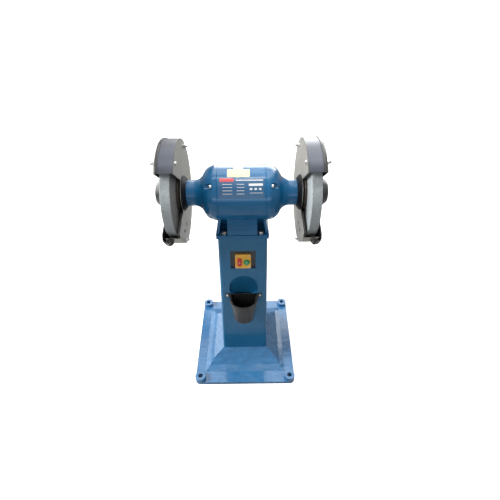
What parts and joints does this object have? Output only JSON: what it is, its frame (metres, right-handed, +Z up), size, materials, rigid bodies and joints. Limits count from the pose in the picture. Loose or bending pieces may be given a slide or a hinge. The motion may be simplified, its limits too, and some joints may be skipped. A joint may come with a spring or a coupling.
{
  "type": "pedestal grinder",
  "caption": "Floor standing electric grinder: a guarded wheel at each end of the motor, on a tapered column with push buttons, a water pot and a cast base.",
  "frame": {"origin": "on the floor, under the middle of the column and of the motor spindle", "axes": "+Z up, X along the spindle with +X at the right wheel as the user sees it, -Y towards the user"},
  "size_m": [0.5816, 0.474, 0.9723],
  "materials": {
    "base_enamel": "satin enamel over a rough casting",
    "blue_enamel": "gloss enamel",
    "plated_steel": "zinc plated",
    "gland_black": "moulded nylon",
    "pot_black": "black paint",
    "switch_black": "moulded",
    "switch_yellow": "moulded",
    "button_red": "moulded",
    "button_green": "moulded",
    "machined_steel": "turned and ground",
    "cage_brass": "plain",
    "core_iron": "stacked laminations, drawn as one",
    "winding_copper": "varnished copper",
    "cage_aluminium": "as cast",
    "plate_blue": "blank, printed blue",
    "flange_black": "satin black",
    "bare_steel": "bare sheet with a warm grey coat",
    "wheel_grit": "vitrified abrasive",
    "blotter_paper": "card"
  },
  "bodies": {
    "stand": {"base_casting": "base_enamel", "column": "blue_enamel", "column_face": "blue_enamel", "stator_housing": "blue_enamel", "rear_cover": "blue_enamel", "right_end_bell": "blue_enamel", "left_end_bell": "blue_enamel", "column_anchor_bolts": "plated_steel", "rear_cover_screws": "plated_steel", "pot_screws": "plated_steel", "switch_screws": "plated_steel", "motor_foot_washers": "plated_steel", "motor_foot_bolts": "plated_steel", "end_bell_bolts": "plated_steel", "guard_flange_screws": "plated_steel", "guard_tie_bolts": "plated_steel", "guard_tie_nuts": "plated_steel", "tool_rest_bolts": "plated_steel", "tool_rest_nuts": "plated_steel", "cable_gland": "gland_black", "water_pot": "pot_black", "switch_mount_plate": "switch_black", "switch_box": "switch_black", "switch_cover": "switch_yellow", "stop_button_spring": "machined_steel", "start_button_spring": "machined_steel", "right_bearing_outer_ring": "machined_steel", "left_bearing_outer_ring": "machined_steel", "stator_core": "core_iron", "stator_windings": "winding_copper", "data_plate": "plate_blue", "right_guard_flange": "flange_black", "left_guard_flange": "flange_black", "right_guard_cover": "flange_black", "left_guard_cover": "flange_black", "right_guard_edge_strips": "flange_black", "left_guard_edge_strips": "flange_black", "right_guard_body": "bare_steel", "left_guard_body": "bare_steel"},
    "rotor": {"spindle": "machined_steel", "rotor_core": "core_iron", "rotor_end_rings": "cage_aluminium", "right_bearing_inner_ring": "machined_steel", "right_inner_flange": "machined_steel", "right_grinding_wheel": "wheel_grit", "right_paper_blotters": "blotter_paper", "right_outer_flange": "machined_steel", "right_spindle_nut": "machined_steel", "left_bearing_inner_ring": "machined_steel", "left_inner_flange": "machined_steel", "left_grinding_wheel": "wheel_grit", "left_paper_blotters": "blotter_paper", "left_outer_flange": "machined_steel", "left_spindle_nut": "machined_steel"},
    "right_ball_set": {"right_bearing_balls": "machined_steel", "right_bearing_cage": "cage_brass"},
    "left_ball_set": {"left_bearing_balls": "machined_steel", "left_bearing_cage": "cage_brass"},
    "stop_button": {"stop_button": "button_red"},
    "start_button": {"start_button": "button_green"}
  },
  "joints": [
    {"name": "rotor_spin", "type": "hinge", "parent": "stand", "child": "rotor", "pos_m": [0, 0, 0.79], "axis": [1, 0, 0], "continuous": true},
    {"name": "right_ball_orbit", "type": "hinge", "parent": "stand", "child": "right_ball_set", "pos_m": [0.1585, 0, 0.79], "axis": [1, 0, 0], "continuous": true},
    {"name": "left_ball_orbit", "type": "hinge", "parent": "stand", "child": "left_ball_set", "pos_m": [-0.1585, 0, 0.79], "axis": [1, 0, 0], "continuous": true},
    {"name": "stop_press", "type": "slide", "parent": "stand", "child": "stop_button", "axis": [0, 0.9992, -0.0404], "range_m": [0, 0.004], "stiffness_N_per_m": 500, "springref_m": -0.002, "deforming": ["stop_button_spring"]},
    {"name": "start_press", "type": "slide", "parent": "stand", "child": "start_button", "axis": [0, 0.9992, -0.0404], "range_m": [0, 0.004], "stiffness_N_per_m": 500, "springref_m": -0.002, "deforming": ["start_button_spring"]}
  ],
  "couplings": [
    {"joint": "right_ball_orbit", "follows": "rotor_spin", "ratio": 0.39626},
    {"joint": "left_ball_orbit", "follows": "rotor_spin", "ratio": 0.39626}
  ]
}
